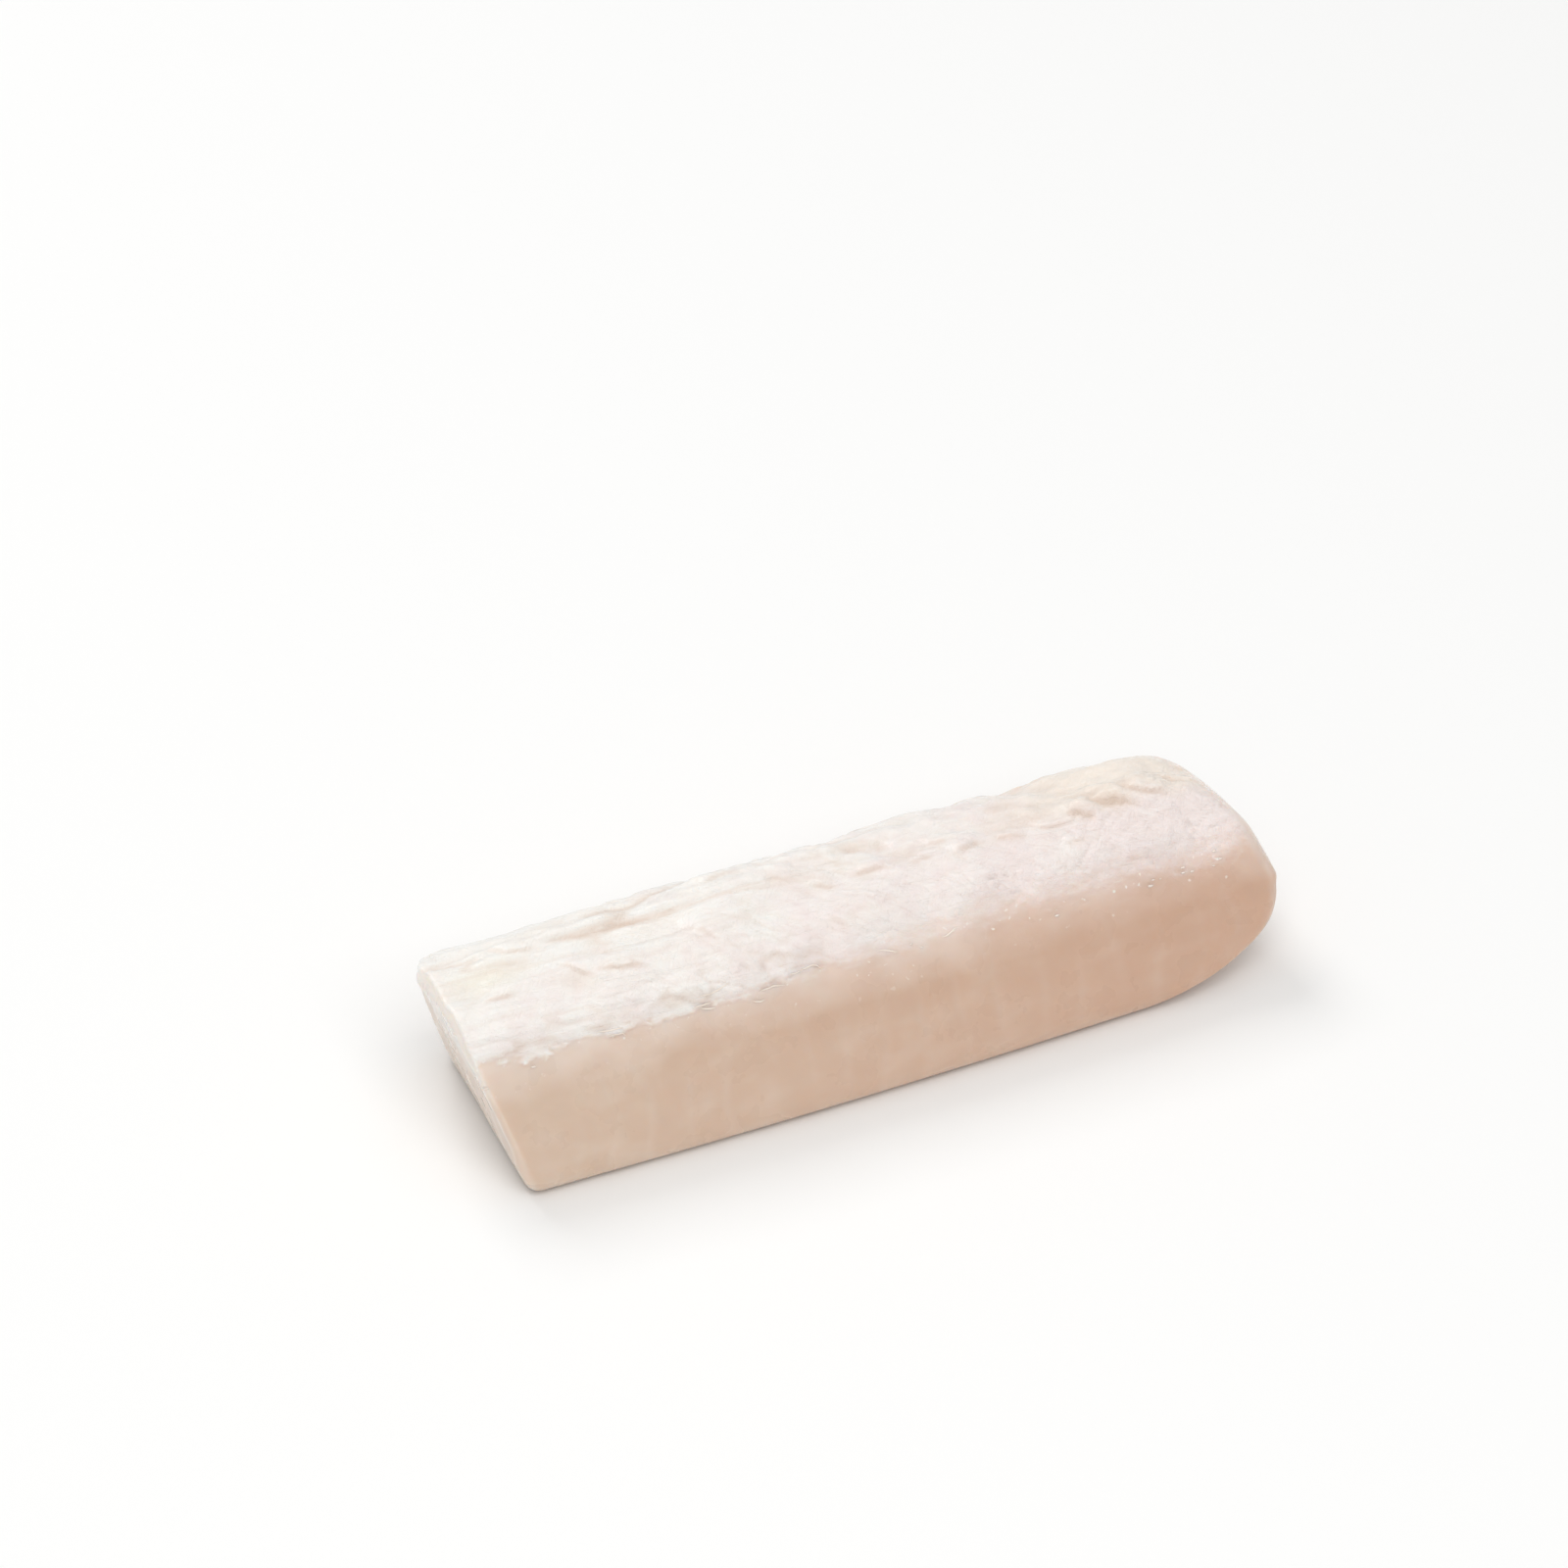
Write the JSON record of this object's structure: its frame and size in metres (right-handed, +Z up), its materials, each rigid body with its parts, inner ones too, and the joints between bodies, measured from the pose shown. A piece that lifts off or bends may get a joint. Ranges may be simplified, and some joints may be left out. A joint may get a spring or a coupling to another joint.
{
  "type": "hake portion",
  "caption": "Raw skinless hake loin portion: a thick bar of white fish with a wrinkled white film on top, soft flanks, a slanted cut at one end and a rounded cut at the other.",
  "frame": {"origin": "on the surface the portion lies on, under the middle of its box", "axes": "+X along the portion's length towards its rounded end, +Y across it towards the raised back edge, +Z up through the skinned side"},
  "size_m": [0.144, 0.044, 0.0297],
  "materials": {
    "hake_flesh": "wet, soft sheen"
  },
  "bodies": {
    "root": {"hake_portion": "hake_flesh"}
  },
  "joints": []
}
